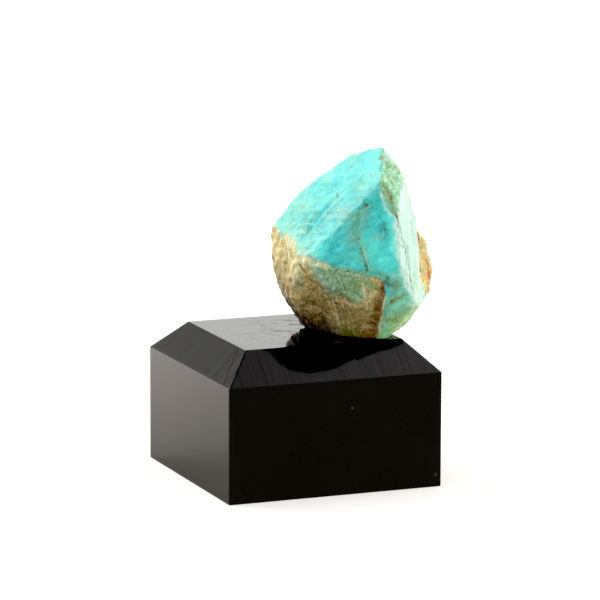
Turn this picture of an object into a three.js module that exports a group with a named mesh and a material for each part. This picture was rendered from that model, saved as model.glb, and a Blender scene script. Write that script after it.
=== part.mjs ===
// A raw amazonite fragment resting on a bevelled display block. Millimetres, +Z up.
// Origin: centre of the block's underside. The block's front wall faces -Y, and +X is its right.
import * as THREE from "three";
import { ConvexGeometry } from "three/addons/geometries/ConvexGeometry.js";
import { TessellateModifier } from "three/addons/modifiers/TessellateModifier.js";
import { mergeVertices } from "three/addons/utils/BufferGeometryUtils.js";

// ---- The display block ----
const BLOCK_SIDE = 30; // square plan
const WALL_HEIGHT = 15.4; // upright walls, below the bevel
const BEVEL_RISE = 4.0; // height of the sloping band
const BEVEL_IN_X = 3.9; // how far the band leans in at left and right
const BEVEL_IN_Y = 4.4; // and at front and back
const CORNER_CUT = 0.25; // polished-off arris of each sharp edge
const BLOCK_HEIGHT = WALL_HEIGHT + BEVEL_RISE;

// ---- The stone ----
// Directions are a turn about Z, 0 at the front wall and positive towards +X, and a tilt above level.
const STONE_MIDDLE = new THREE.Vector3(6.5, -2.5, BLOCK_HEIGHT + 12.0);
const EDGE_SHARPNESS = 60; // power of the blend between faces: higher is crisper
const MESH_EDGE = 1.05; // longest triangle edge before the relief
const MESH_ROUNDS = 16; // enough halvings to bring every edge under that

// How much each kind of surface swells and dips, in millimetres.
const CLEAVED = 0.09; // broken clean along the crystal's planes
const WORN = 0.16; // rubbed or weathered
const CRUST = 0.22; // feldspar crust left from the rock
const WAVE_COUNT = 14; // sine waves that make up the swell
const LONGEST_WAVE = 9;
const WAVE_SHRINK = 0.84; // each wave's length over the one before
const WAVE_START_STEP = 2.4; // radians between the waves' starts
const RISER = 0.8; // a ledge's section: 0 is a plain sine, 1 a sheer drop
// Slow waves that bend the ledges: height in spacings, and radians for each millimetre along X, Y, Z.
const WANDERS = [
  { height: 0.45, way: new THREE.Vector3(0.9, 0, 0.7) },
  { height: 0.3, way: new THREE.Vector3(0, 1.3, -0.5) },
];

// Each broken face: where it looks, how far it lies from the middle, how rough it is, and its
// ledges, which run parallel to the edge that it shares with another face.
const FACES = {
  left_slope: { turn: -76, tilt: 38, reach: 5.3, swell: CLEAVED, ledge: ["front", 1.9, 0.16] },
  front: { turn: -42, tilt: 18, reach: 6.5, swell: CLEAVED, ledge: ["right_flank", 2.6, 0.1] },
  top_right: { turn: 25, tilt: 38, reach: 11.05, swell: WORN, ledge: ["front", 1.3, 0.18] },
  right_flank: { turn: 51, tilt: 11, reach: 9.35, swell: CLEAVED, ledge: ["front", 2.2, 0.12] },
  lower_right: { turn: -1, tilt: -20, reach: 11.55, swell: CLEAVED, ledge: ["foot", 2.4, 0.12] },
  crust_front: { turn: -48, tilt: -16, reach: 7.6, swell: CRUST, ledge: ["foot", 2.1, 0.16] },
  crust_left: { turn: -88, tilt: 3, reach: 7.5, swell: CRUST, ledge: ["crust_front", 1.2, 0.07] },
  crust_low_left: { turn: -105, tilt: -24.5, reach: 10.2, swell: CRUST },
  crust_low_front: { turn: -81, tilt: -52, reach: 12.05, swell: CRUST },
  rust_side: { turn: 58, tilt: 9, reach: 9.7, swell: WORN, ledge: ["right_flank", 1.2, 0.2] },
  rust_top: { turn: 77, tilt: 21, reach: 9.85, swell: WORN },
  under_right: { turn: 57, tilt: -42, reach: 13.0, swell: WORN },
  under_rust: { turn: 61, tilt: -28, reach: 12.8, swell: WORN },
  back_left: { turn: -147, tilt: 30, reach: 9.8, swell: WORN },
  back_top: { turn: -175, tilt: 45, reach: 9.55, swell: CLEAVED, ledge: ["back_right", 2.3, 0.22] },
  back_right: { turn: 120, tilt: 19, reach: 6.3, swell: CLEAVED, ledge: ["back_top", 3.4, 0.45] },
  back_low: { turn: 171, tilt: -12, reach: 9.7, swell: CRUST, ledge: ["foot", 2.8, 0.3] },
  under_back: { turn: 143.5, tilt: -60, reach: 10.65, swell: CRUST, ledge: ["back_low", 3.1, 0.3] },
  back_low_left: { turn: -132, tilt: -5, reach: 10.7, swell: CRUST },
  top_rear: { turn: 82, tilt: 30, reach: 10.45, swell: WORN },
  foot: { turn: 0, tilt: -90, reach: 12.0, swell: 0 },
};

// Pits and chipped spots: turn, tilt, radius, depth.
const PITS = [
  [1, 43, 0.45, 0.35],
  [10.5, 20, 0.5, 0.25],
  [-43.5, -51.5, 0.5, 0.35],
  [-25, -45, 0.45, 0.25],
  [-71, -52, 0.6, 0.35],
  [6, -51, 0.5, 0.3],
  [-109, -38, 0.6, 0.3],
  [-103, -23, 0.7, 0.3],
  [42, 66, 0.5, 0.25],
  [17, 50, 0.6, 0.3],
  [20, 40, 0.5, 0.3],
  [17, 29, 0.55, 0.35],
  [-66, 73, 0.5, 0.2],
  [14, -34, 0.8, 0.2],
  [-75, -8, 0.9, 0.25],
  [23, -50, 1.2, 0.4],
  [66, -10, 0.9, 0.35],
  [100, 30, 1.6, 0.5],
  [128, -8, 1.4, 0.45],
  [150, 25, 1.1, 0.4],
  [-150, 5, 1.5, 0.5],
  [-165, -30, 1.2, 0.4],
  [140, -35, 1.3, 0.45],
];

// Cracks and undercut lines: width, depth, then their turns and tilts in order.
const GROOVES = [
  { width: 0.35, depth: 0.18, route: [[-6, 39], [-9, 26], [-10, 13], [-8, 0], [-6, -8]] },
  { width: 0.35, depth: 0.25, route: [[17, 25], [19, 14], [19, 7], [27, 3], [26, -8], [26, -24]] },
  { width: 0.4, depth: 0.3, route: [[67, 12], [68, 5], [62, -9], [58, -18], [57, -26]] },
  { width: 0.4, depth: 0.22, route: [[-64, -11], [-49, -14], [-36, -17], [-23, -19], [-5, -17], [4, -15]] },
  { width: 0.35, depth: 0.2, route: [[-75, -14], [-72, -22], [-69, -28]] },
  { width: 0.5, depth: 0.18, route: [[-90, 3], [-91, 14], [-89, 28], [-85, 47], [-71, 67]] },
  { width: 0.6, depth: 0.4, route: [[95, 45], [115, 20], [135, 8], [160, 2], [-175, -10]] },
  { width: 0.5, depth: 0.35, route: [[-142, 14], [-150, -12], [-165, -40]] },
];

// Ribs of harder vein that stand proud: width, height, then their turns and tilts in order.
const RIBS = [
  { width: 1.1, height: 0.6, route: [[71, 1], [74, -9], [76, -16], [77, -21]] },
];

const AMAZONITE = new THREE.MeshStandardMaterial({ color: 0x55c8c4, roughness: 0.62, metalness: 0 });
const BLACK_ACRYLIC = new THREE.MeshStandardMaterial({ color: 0x0a0908, roughness: 0.08, metalness: 0 });

const TURN_TO_NEXT_WAVE = Math.PI * (3 - Math.sqrt(5)); // the golden angle
const NEARLY_ZERO = 1e-6;
const SAME_POINT = 1e-4; // vertices closer than this are one

function direction(turn, tilt) {
  const a = THREE.MathUtils.degToRad(turn);
  const e = THREE.MathUtils.degToRad(tilt);
  return new THREE.Vector3(Math.sin(a) * Math.cos(e), -Math.cos(a) * Math.cos(e), Math.sin(e));
}

for (const face of Object.values(FACES)) face.normal = direction(face.turn, face.tilt);
for (const face of Object.values(FACES)) {
  if (!face.ledge) continue;
  const [neighbour] = face.ledge;
  const alongEdge = face.normal.clone().cross(FACES[neighbour].normal);
  face.acrossLedges = alongEdge.cross(face.normal).normalize();
}
const FACE_LIST = Object.values(FACES);

// Swells and dips: a sum of sine waves that each run their own way, each shorter and lower than the
// one before.
const WAVES = Array.from({ length: WAVE_COUNT }, (_, i) => {
  const height = 1 - (2 * i + 1) / WAVE_COUNT;
  const level = Math.sqrt(1 - height * height);
  const around = i * TURN_TO_NEXT_WAVE;
  const length = LONGEST_WAVE * WAVE_SHRINK ** i;
  return {
    way: new THREE.Vector3(level * Math.cos(around), level * Math.sin(around), height),
    length,
    share: Math.sqrt(length / LONGEST_WAVE) / 2,
    start: WAVE_START_STEP * i,
  };
});

function swell(point) {
  let sum = 0;
  for (const wave of WAVES) {
    sum += wave.share * Math.sin((2 * Math.PI * wave.way.dot(point)) / wave.length + wave.start);
  }
  return sum;
}

// How far the ledges wander from straight, in spacings.
function wander(point) {
  return WANDERS.reduce((sum, { height, way }) => sum + height * Math.sin(way.dot(point)), 0);
}

// Ledges: a smoothed sawtooth across the face, which drops quickly and climbs slowly.
function ledges(face, point) {
  if (!face.ledge) return 0;
  const [, spacing, height] = face.ledge;
  const t = 2 * Math.PI * (face.acrossLedges.dot(point) / spacing + wander(point));
  return (height / Math.PI) * Math.atan2(RISER * Math.sin(t), 1 - RISER * Math.cos(t));
}

// Where a ray from the stone's middle leaves the faces, with each face's share of that place.
function facedPoint(way) {
  const pulls = FACE_LIST.map((face) => Math.max(face.normal.dot(way), 0) / face.reach);
  const peak = Math.max(...pulls);
  const shares = pulls.map((pull) => (pull / peak) ** EDGE_SHARPNESS);
  const sum = shares.reduce((a, b) => a + b, 0);
  const radius = 1 / (peak * sum ** (1 / EDGE_SHARPNESS));
  return { point: way.clone().multiplyScalar(radius), shares: shares.map((share) => share / sum) };
}

const PIT_PLACES = PITS.map(([turn, tilt, radius, depth]) => {
  return { at: facedPoint(direction(turn, tilt)).point, radius, depth };
});
const asRuns = ({ width, route }) => {
  const stops = route.map(([turn, tilt]) => facedPoint(direction(turn, tilt)).point);
  return { width, runs: stops.slice(1).map((stop, i) => new THREE.Line3(stops[i], stop)) };
};
const GROOVE_LINES = GROOVES.map((groove) => ({ ...asRuns(groove), rise: -groove.depth }));
const RIB_LINES = RIBS.map((rib) => ({ ...asRuns(rib), rise: rib.height }));

// The marks' own height: round pits, and grooves and ribs of a bell-shaped section.
function marks(point) {
  let rise = 0;
  for (const pit of PIT_PLACES) {
    rise -= pit.depth * Math.exp(-((pit.at.distanceTo(point) / pit.radius) ** 2));
  }
  const nearest = new THREE.Vector3();
  for (const line of [...GROOVE_LINES, ...RIB_LINES]) {
    const gaps = line.runs.map((run) => run.closestPointToPoint(point, true, nearest).distanceTo(point));
    rise += line.rise * Math.exp(-((Math.min(...gaps) / line.width) ** 2));
  }
  return rise;
}

// The stone's surface in one direction from its middle. The foot stays flat, level with the block.
function stonePoint(way) {
  const { point, shares } = facedPoint(way);
  let relief = marks(point);
  FACE_LIST.forEach((face, i) => {
    if (shares[i] > NEARLY_ZERO) relief += shares[i] * (face.swell * swell(point) + ledges(face, point));
  });
  const grounded = shares[FACE_LIST.indexOf(FACES.foot)];
  point.addScaledVector(way, relief * (1 - grounded));
  point.z = grounded > 0.5 ? -FACES.foot.reach : Math.max(point.z, -FACES.foot.reach);
  return point;
}

// Every point where three faces meet and no other face cuts it off.
function faceCorners() {
  const corners = [];
  for (let i = 0; i < FACE_LIST.length; i++) {
    for (let j = i + 1; j < FACE_LIST.length; j++) {
      for (let k = j + 1; k < FACE_LIST.length; k++) {
        const [a, b, c] = [FACE_LIST[i], FACE_LIST[j], FACE_LIST[k]];
        const bc = b.normal.clone().cross(c.normal);
        const volume = a.normal.dot(bc);
        if (Math.abs(volume) < NEARLY_ZERO) continue;
        const corner = bc
          .multiplyScalar(a.reach)
          .addScaledVector(c.normal.clone().cross(a.normal), b.reach)
          .addScaledVector(a.normal.clone().cross(b.normal), c.reach)
          .divideScalar(volume);
        const beyond = (face) => face.normal.dot(corner) > face.reach + NEARLY_ZERO;
        if (!FACE_LIST.some(beyond)) corners.push(corner);
      }
    }
  }
  return corners;
}

function onlyPositions(geometry) {
  geometry.deleteAttribute("normal");
  geometry.deleteAttribute("uv");
  return geometry;
}

function makeStone() {
  const rough = onlyPositions(new ConvexGeometry(faceCorners()));
  const fine = mergeVertices(new TessellateModifier(MESH_EDGE, MESH_ROUNDS).modify(rough), SAME_POINT);
  const positions = fine.getAttribute("position");
  const vertex = new THREE.Vector3();
  for (let i = 0; i < positions.count; i++) {
    vertex.fromBufferAttribute(positions, i).normalize();
    positions.setXYZ(i, ...stonePoint(vertex));
  }
  fine.computeVertexNormals();
  const stone = new THREE.Mesh(fine, AMAZONITE);
  stone.name = "amazonite";
  stone.position.copy(STONE_MIDDLE);
  return stone;
}

// A block lofted through level rectangles with cut corners, closed flat at both ends.
function loftedBlock(levels) {
  const sides = 8;
  const ring = ({ halfX, halfY, cut, z }) => [
    [halfX - cut, -halfY, z],
    [halfX, -halfY + cut, z],
    [halfX, halfY - cut, z],
    [halfX - cut, halfY, z],
    [-halfX + cut, halfY, z],
    [-halfX, halfY - cut, z],
    [-halfX, -halfY + cut, z],
    [-halfX + cut, -halfY, z],
  ];
  const positions = levels.flatMap(ring).flat();
  const faces = [];
  for (let level = 0; level < levels.length - 1; level++) {
    for (let side = 0; side < sides; side++) {
      const [a, b] = [level * sides + side, level * sides + ((side + 1) % sides)];
      faces.push(a, b, b + sides, a, b + sides, a + sides);
    }
  }
  const top = (levels.length - 1) * sides;
  for (let side = 1; side < sides - 1; side++) {
    faces.push(0, side + 1, side);
    faces.push(top, top + side, top + side + 1);
  }
  const geometry = new THREE.BufferGeometry();
  geometry.setAttribute("position", new THREE.Float32BufferAttribute(positions, 3));
  geometry.setIndex(faces);
  return geometry;
}

function makeBlock() {
  const half = BLOCK_SIDE / 2;
  const cut = CORNER_CUT;
  const [topX, topY] = [half - BEVEL_IN_X, half - BEVEL_IN_Y];
  const geometry = loftedBlock([
    { halfX: half - cut, halfY: half - cut, cut, z: 0 },
    { halfX: half, halfY: half, cut, z: cut },
    { halfX: half, halfY: half, cut, z: WALL_HEIGHT },
    { halfX: topX, halfY: topY, cut, z: BLOCK_HEIGHT },
  ]);
  const block = new THREE.Mesh(geometry, BLACK_ACRYLIC);
  block.name = "display_block";
  return block;
}

const specimen = new THREE.Group();
specimen.add(makeBlock(), makeStone());

export default specimen;
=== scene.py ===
"""A raw amazonite fragment on a bevelled black display block: the looks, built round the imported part."""
from itertools import product

import bpy
import numpy as np
from mathutils import Matrix, Vector


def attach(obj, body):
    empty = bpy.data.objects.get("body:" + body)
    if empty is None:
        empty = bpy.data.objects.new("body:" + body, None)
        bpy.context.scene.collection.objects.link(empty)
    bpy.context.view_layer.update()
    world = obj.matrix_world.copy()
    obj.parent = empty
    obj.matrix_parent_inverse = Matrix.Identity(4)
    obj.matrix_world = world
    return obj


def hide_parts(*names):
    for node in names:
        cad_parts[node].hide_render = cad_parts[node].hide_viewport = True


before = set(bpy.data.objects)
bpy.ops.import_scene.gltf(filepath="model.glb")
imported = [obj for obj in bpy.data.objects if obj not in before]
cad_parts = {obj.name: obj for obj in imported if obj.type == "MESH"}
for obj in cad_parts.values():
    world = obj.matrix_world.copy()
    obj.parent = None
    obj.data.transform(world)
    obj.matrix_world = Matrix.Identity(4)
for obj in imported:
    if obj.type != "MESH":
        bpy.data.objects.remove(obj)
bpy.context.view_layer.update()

MM = 0.001  # the shapes below are worked out in millimetres

# ---- The stone's driving values, as in the part's source ----
BLOCK_HEIGHT = 19.4
STONE_MIDDLE = np.array([6.5, -2.5, BLOCK_HEIGHT + 12.0])
EDGE_SHARPNESS = 60  # power of the blend between faces: higher is crisper
CLEAVED, WORN, CRUST = 0.09, 0.16, 0.22  # how much each kind of surface swells and dips
WAVE_COUNT = 14  # sine waves that make up the swell
LONGEST_WAVE = 9
WAVE_SHRINK = 0.84  # each wave's length over the one before
WAVE_START_STEP = 2.4  # radians between the waves' starts
RISER = 0.8  # a ledge's section: 0 is a plain sine, 1 a sheer drop
# Slow waves that bend the ledges: height in spacings, and radians for each millimetre along X, Y, Z.
WANDERS = [(0.45, (0.9, 0, 0.7)), (0.3, (0, 1.3, -0.5))]

# Each broken face: turn and tilt of the way it looks, distance from the middle, swell, and its
# ledges (the face whose shared edge they follow, their spacing and their height).
FACES = {
    "left_slope": (-76, 38, 5.3, CLEAVED, ("front", 1.9, 0.16)),
    "front": (-42, 18, 6.5, CLEAVED, ("right_flank", 2.6, 0.1)),
    "top_right": (25, 38, 11.05, WORN, ("front", 1.3, 0.18)),
    "right_flank": (51, 11, 9.35, CLEAVED, ("front", 2.2, 0.12)),
    "lower_right": (-1, -20, 11.55, CLEAVED, ("foot", 2.4, 0.12)),
    "crust_front": (-48, -16, 7.6, CRUST, ("foot", 2.1, 0.16)),
    "crust_left": (-88, 3, 7.5, CRUST, ("crust_front", 1.2, 0.07)),
    "crust_low_left": (-105, -24.5, 10.2, CRUST, None),
    "crust_low_front": (-81, -52, 12.05, CRUST, None),
    "rust_side": (58, 9, 9.7, WORN, ("right_flank", 1.2, 0.2)),
    "rust_top": (77, 21, 9.85, WORN, None),
    "under_right": (57, -42, 13.0, WORN, None),
    "under_rust": (61, -28, 12.8, WORN, None),
    "back_left": (-147, 30, 9.8, WORN, None),
    "back_top": (-175, 45, 9.55, CLEAVED, ("back_right", 2.3, 0.22)),
    "back_right": (120, 19, 6.3, CLEAVED, ("back_top", 3.4, 0.45)),
    "back_low": (171, -12, 9.7, CRUST, ("foot", 2.8, 0.3)),
    "under_back": (143.5, -60, 10.65, CRUST, ("back_low", 3.1, 0.3)),
    "back_low_left": (-132, -5, 10.7, CRUST, None),
    "top_rear": (82, 30, 10.45, WORN, None),
    "foot": (0, -90, 12.0, 0, None),
}

# Pits: turn, tilt, radius, depth.
PITS = [
    (1, 43, 0.45, 0.35), (10.5, 20, 0.5, 0.25), (-43.5, -51.5, 0.5, 0.35), (-25, -45, 0.45, 0.25),
    (-71, -52, 0.6, 0.35), (6, -51, 0.5, 0.3), (-109, -38, 0.6, 0.3), (-103, -23, 0.7, 0.3),
    (42, 66, 0.5, 0.25), (17, 50, 0.6, 0.3), (20, 40, 0.5, 0.3), (17, 29, 0.55, 0.35),
    (-66, 73, 0.5, 0.2), (14, -34, 0.8, 0.2), (-75, -8, 0.9, 0.25), (23, -50, 1.2, 0.4),
    (66, -10, 0.9, 0.35), (100, 30, 1.6, 0.5), (128, -8, 1.4, 0.45), (150, 25, 1.1, 0.4),
    (-150, 5, 1.5, 0.5), (-165, -30, 1.2, 0.4), (140, -35, 1.3, 0.45),
]

# Raised and sunken lines: width, height (below 0 is a groove), then turns and tilts in order.
LINES = [
    (0.35, -0.18, [(-6, 39), (-9, 26), (-10, 13), (-8, 0), (-6, -8)]),
    (0.35, -0.25, [(17, 25), (19, 14), (19, 7), (27, 3), (26, -8), (26, -24)]),
    (0.4, -0.3, [(67, 12), (68, 5), (62, -9), (58, -18), (57, -26)]),
    (0.4, -0.22, [(-64, -11), (-49, -14), (-36, -17), (-23, -19), (-5, -17), (4, -15)]),
    (0.35, -0.2, [(-75, -14), (-72, -22), (-69, -28)]),
    (0.5, -0.18, [(-90, 3), (-91, 14), (-89, 28), (-85, 47), (-71, 67)]),
    (0.6, -0.4, [(95, 45), (115, 20), (135, 8), (160, 2), (-175, -10)]),
    (0.5, -0.35, [(-142, 14), (-150, -12), (-165, -40)]),
    (1.1, 0.6, [(71, 1), (74, -9), (76, -16), (77, -21)]),
]

STONE_CELLS = 126  # grid cells along each side of the stone's six patches


# ---- Camera ----
EYE = (-0.19296, -0.47662, 0.12058)  # metres
LOOK_DOWN, LOOK_TURN, LEAN = 10.697, 22.133, 0.194  # degrees
LENS, SENSOR = 235.56, 36  # millimetres
NEAREST, FURTHEST = 0.01, 20  # metres between which it sees


def make_camera():
    """Looks from the front left and a little above, with a long lens."""
    data = bpy.data.cameras.new("camera")
    data.lens = LENS
    data.sensor_width = SENSOR
    data.clip_start = NEAREST
    data.clip_end = FURTHEST
    camera = bpy.data.objects.new("camera", data)
    camera.location = EYE
    down, turn, lean = np.radians([LOOK_DOWN, LOOK_TURN, LEAN])
    level = Matrix.Rotation(-turn, 3, "Z") @ Matrix.Rotation(np.pi / 2 - down, 3, "X")
    camera.rotation_euler = (level @ Matrix.Rotation(lean, 3, "Z")).to_euler()
    bpy.context.collection.objects.link(camera)
    bpy.context.scene.camera = camera


# ---- Numbers on whole arrays of points ----
def directions(turn, tilt):
    """Unit vectors for turns about Z (0 is -Y, positive towards +X) and tilts above level."""
    turn, tilt = np.radians(turn), np.radians(tilt)
    return np.stack([np.sin(turn) * np.cos(tilt), -np.cos(turn) * np.cos(tilt), np.sin(tilt)], axis=-1)


def unit(vectors):
    """The vectors at length 1."""
    return vectors / np.linalg.norm(vectors, axis=-1, keepdims=True)


def smooth_step(low, high, value):
    """0 up to low, 1 from high on, either way round, and an S-curve between."""
    t = np.clip((value - low) / (high - low), 0, 1)
    return t * t * (3 - 2 * t)


# Large odd numbers that scatter a corner's place, the seed and their mixture over 32 bits.
PLACE_SCATTER = np.array([73856093, 19349663, 83492791], np.uint32)
SEED_SCATTER = 2654435761
MIX_SCATTER = np.array([2246822519, 3266489917], np.uint32)
LATTICE_SHIFT = 100.5  # cells that the lattice is moved by, so that no corner lies on the middle
SEED_STEP = 31  # between the seeds of a fractal's layers
LAYER_TURN = np.array([[0.36, 0.48, -0.8], [-0.8, 0.6, 0], [0.48, 0.64, 0.6]])  # from layer to layer


def corner_height(corner, seed):
    """One random height from -1 to 1 for each whole-numbered corner of a lattice.

    The corner's place is multiplied, folded into one number, and mixed with the seed.
    """
    x, y, z = (corner.astype(np.int64).astype(np.uint32) * PLACE_SCATTER).T
    h = (x ^ y ^ z ^ np.uint32(seed * SEED_SCATTER % 2**32)) * MIX_SCATTER[0]
    h = (h ^ (h >> np.uint32(15))) * MIX_SCATTER[1]
    return (h ^ (h >> np.uint32(13))) / 2**31 - 1.0


def noise(points, size, seed=0):
    """Random heights at the corners of a lattice of cells of that size, joined smoothly."""
    q = points / size + LATTICE_SHIFT
    cell = np.floor(q)
    f = q - cell
    f = f * f * f * (f * (6 * f - 15) + 10)
    total = np.zeros(len(points))
    for corner in product((0, 1), repeat=3):
        weight = np.where(np.array(corner) == 1, f, 1 - f).prod(axis=1)
        total += weight * corner_height(cell + corner, seed)
    return total


def fractal(points, size, layers, seed=0):
    """Noise on noise: each layer is half as large and half as high, and turned."""
    total, share = np.zeros(len(points)), 1.0
    for layer in range(layers):
        total += share * noise(points, size, seed + SEED_STEP * layer)
        points, size, share = points @ LAYER_TURN, size / 2, share / 2
    return total


def stretched(points, along, factor):
    """The points squeezed along one way of length 1, so that noise on them runs in streaks that way."""
    return points - np.outer(points @ along, along) * (1 - 1 / factor)


def gap_to_route(points, stops, on_ball=False):
    """Distance from each point to the nearest place on a line through the stops.

    On the unit ball that place is drawn out to the ball, so that the line runs in great arcs.
    """
    nearest = np.full(len(points), np.inf)
    for start, end in zip(stops[:-1], stops[1:]):
        run = end - start
        share = np.clip((points - start) @ run / max(run @ run, 1e-9), 0, 1)
        close = start + np.outer(share, run)
        if on_ball:
            close = unit(close)
        nearest = np.minimum(nearest, np.linalg.norm(points - close, axis=1))
    return nearest


# ---- The stone's shape ----
NAMES = list(FACES)
NORMALS = directions(*np.array([FACES[n][:2] for n in NAMES], float).T)
REACHES = np.array([FACES[n][2] for n in NAMES])
SWELLS = np.array([FACES[n][3] for n in NAMES])


def edge_way(a, b):
    """The way that the edge between two faces runs."""
    return unit(np.cross(NORMALS[NAMES.index(a)], NORMALS[NAMES.index(b)]))


def faced_points(ways):
    """Where rays from the middle leave the faces, with each face's share of that place.

    The radius is 1 over the p-norm of the pulls, normal . way / reach, which rounds the edges.
    """
    pulls = np.maximum(ways @ NORMALS.T, 0) / REACHES
    peak = pulls.max(axis=1, keepdims=True)
    shares = (pulls / peak) ** EDGE_SHARPNESS
    total = shares.sum(axis=1, keepdims=True)
    radius = 1 / (peak * total ** (1 / EDGE_SHARPNESS))
    return ways * radius, shares / total, pulls


def place(turn, tilt):
    """One point on the faces, in millimetres from the stone's middle."""
    return faced_points(directions(np.array([turn], float), np.array([tilt], float)))[0][0]


def swell(points):
    """A sum of sine waves that each run their own way, each shorter and lower than the last."""
    total = np.zeros(len(points))
    golden = np.pi * (3 - 5**0.5)
    for i in range(WAVE_COUNT):
        height = 1 - (2 * i + 1) / WAVE_COUNT
        level = (1 - height * height) ** 0.5
        way = np.array([level * np.cos(i * golden), level * np.sin(i * golden), height])
        share = WAVE_SHRINK ** (i / 2) / 2
        length = LONGEST_WAVE * WAVE_SHRINK**i
        total += share * np.sin(2 * np.pi * (points @ way) / length + WAVE_START_STEP * i)
    return total


def ledges(points, shares):
    """A smoothed sawtooth across each face that has ledges, wandering a little."""
    x, y, z = points.T
    wander = sum(height * np.sin(a * x + b * y + c * z) for height, (a, b, c) in WANDERS)
    total = np.zeros(len(points))
    for i, name in enumerate(NAMES):
        if FACES[name][4]:
            neighbour, spacing, height = FACES[name][4]
            across = np.cross(edge_way(name, neighbour), NORMALS[i])
            t = 2 * np.pi * (points @ across / spacing + wander)
            saw = np.arctan2(RISER * np.sin(t), 1 - RISER * np.cos(t))
            total += shares[:, i] * height / np.pi * saw
    return total


def marks(points):
    """Round pits, and lines of a bell-shaped section."""
    total = np.zeros(len(points))
    for turn, tilt, radius, depth in PITS:
        gap = np.linalg.norm(points - place(turn, tilt), axis=1)
        total -= depth * np.exp(-((gap / radius) ** 2))
    for width, height, route in LINES:
        gap = gap_to_route(points, [place(*stop) for stop in route])
        total += height * np.exp(-((gap / width) ** 2))
    return total


CRUSTY = ("crust_front", "crust_low_left", "crust_low_front", "back_low", "under_back", "back_low_left")
RIDGE_WAY = edge_way("left_slope", "front")  # the cleavage streaks run along this ridge
FIBRE_WAY = edge_way("crust_left", "crust_front")  # the fibres of the tan and rusty sides
FLANK_WAY = edge_way("right_flank", "front")  # the white flank's grain
LAYER_WAY = edge_way("crust_front", "foot")  # the strip's layers
# Fine relief: its height, the size of its largest bumps, its layers of noise and their seed.
BUMPS = {
    "crumbs": (0.1, 1.0, 4, 3),
    "hollows": (0.08, 2.3, 3, 9),
    "fibres": (0.06, 0.6, 4, 5),
    "worn": (0.1, 0.9, 4, 7),
    "streaks": (0.03, 0.9, 4, 11),
    "grain": (0.015, 0.35, 2, 13),
    "chips": (0.12, 1.3, 3, 17),
}
CRUST_LIFT, FIBRE_LIFT, RUST_TOP_LIFT = 0.074, 0.1, 0.25  # how far these stand above the solid
CHIPPED = (0.98, 0.6)  # the main face's share of a place where its edge starts to chip, and chips fully


def share_of(shares, *names):
    """How much of a point belongs to the named faces together."""
    return sum(shares[:, NAMES.index(name)] for name in names)


def bumps(kind, points):
    """One kind of fine relief: fractal noise times its height."""
    height, size, layers, seed = BUMPS[kind]
    return height * fractal(points, size, layers, seed)


def fine_relief(points, shares):
    """What is too fine for the solid: each kind of bumps, times the share of the faces that have it.

    The crust is crumbly and hollowed, the tan and rusty sides are fibrous, worn faces are rough and
    cleaved ones streaky. Chips are the upper halves of their noise, cut away along the edges.
    """
    crust = share_of(shares, *CRUSTY)
    fibrous = share_of(shares, "crust_left", "rust_side", "rust_top")
    worn = share_of(shares, "top_right", "top_rear", "under_right", "under_rust", "back_left")
    cleaved = 1 - crust - fibrous - worn
    relief = crust * (bumps("crumbs", points) - np.abs(bumps("hollows", points)) + CRUST_LIFT)
    relief += fibrous * (bumps("fibres", stretched(points, FIBRE_WAY, 5)) + FIBRE_LIFT)
    relief += RUST_TOP_LIFT * share_of(shares, "rust_top")
    relief += worn * bumps("worn", points)
    relief += cleaved * (bumps("streaks", stretched(points, RIDGE_WAY, 4)) + bumps("grain", points))
    on_edge = smooth_step(*CHIPPED, shares.max(axis=1))
    return relief - on_edge * np.maximum(bumps("chips", points), 0)


def cube_grid(cells):
    """Ways through a grid on each side of a cube, spaced evenly by angle, and the quads between.

    The six grids' shared rims are merged, so that the surface closes.
    """
    a = np.tan(np.linspace(-1, 1, cells + 1) * np.pi / 4)
    u, v = [g.ravel() for g in np.meshgrid(a, a, indexing="ij")]
    one = np.ones_like(u)
    sides = [(one, u, v), (-one, v, u), (v, one, u), (u, -one, v), (u, v, one), (v, u, -one)]
    cube = np.concatenate([np.stack(side, axis=1) for side in sides])
    i, j = [g.ravel() for g in np.meshgrid(np.arange(cells), np.arange(cells), indexing="ij")]
    corner = i * (cells + 1) + j
    quad = np.stack([corner, corner + cells + 1, corner + cells + 2, corner + 1], axis=1)
    quads = np.concatenate([quad + n * (cells + 1) ** 2 for n in range(len(sides))])
    _, first, where = np.unique(np.round(cube * 1e7).astype(np.int64), axis=0, return_index=True,
                                return_inverse=True)
    return unit(cube[first]), where.ravel()[quads]


def mesh_piece(name, points, quads, caps=()):
    """A mesh object at the origin from points in millimetres and arrays of corners."""
    mesh = bpy.data.meshes.new(name)
    mesh.from_pydata((points * MM).tolist(), [], quads.tolist() + [list(cap) for cap in caps])
    mesh.validate()
    piece = bpy.data.objects.new(name, mesh)
    bpy.context.collection.objects.link(piece)
    return piece


def add_number(piece, name, values):
    """A number at each point, for the material to read."""
    layer = piece.data.attributes.new(name, "FLOAT", "POINT")
    layer.data.foreach_set("value", values.astype(np.float32))


def make_stone():
    """The stone: every way from its middle, at the faced radius plus relief, with a flat foot."""
    ways, quads = cube_grid(STONE_CELLS)
    smooth, shares, pulls = faced_points(ways)
    relief = marks(smooth) + (shares @ SWELLS) * swell(smooth) + ledges(smooth, shares)
    relief += fine_relief(smooth, shares)
    foot = shares[:, NAMES.index("foot")]
    points = smooth + ways * (relief * (1 - foot))[:, None]
    lowest = -REACHES[NAMES.index("foot")]
    points[:, 2] = np.where(foot > 0.5, lowest, np.maximum(points[:, 2], lowest))
    piece = mesh_piece("raw_amazonite", points + STONE_MIDDLE, quads)
    piece.data.shade_smooth()
    for name, values in stone_masks(smooth, shares, pulls).items():
        add_number(piece, name, np.clip(values, 0, 1))
    return piece


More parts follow.
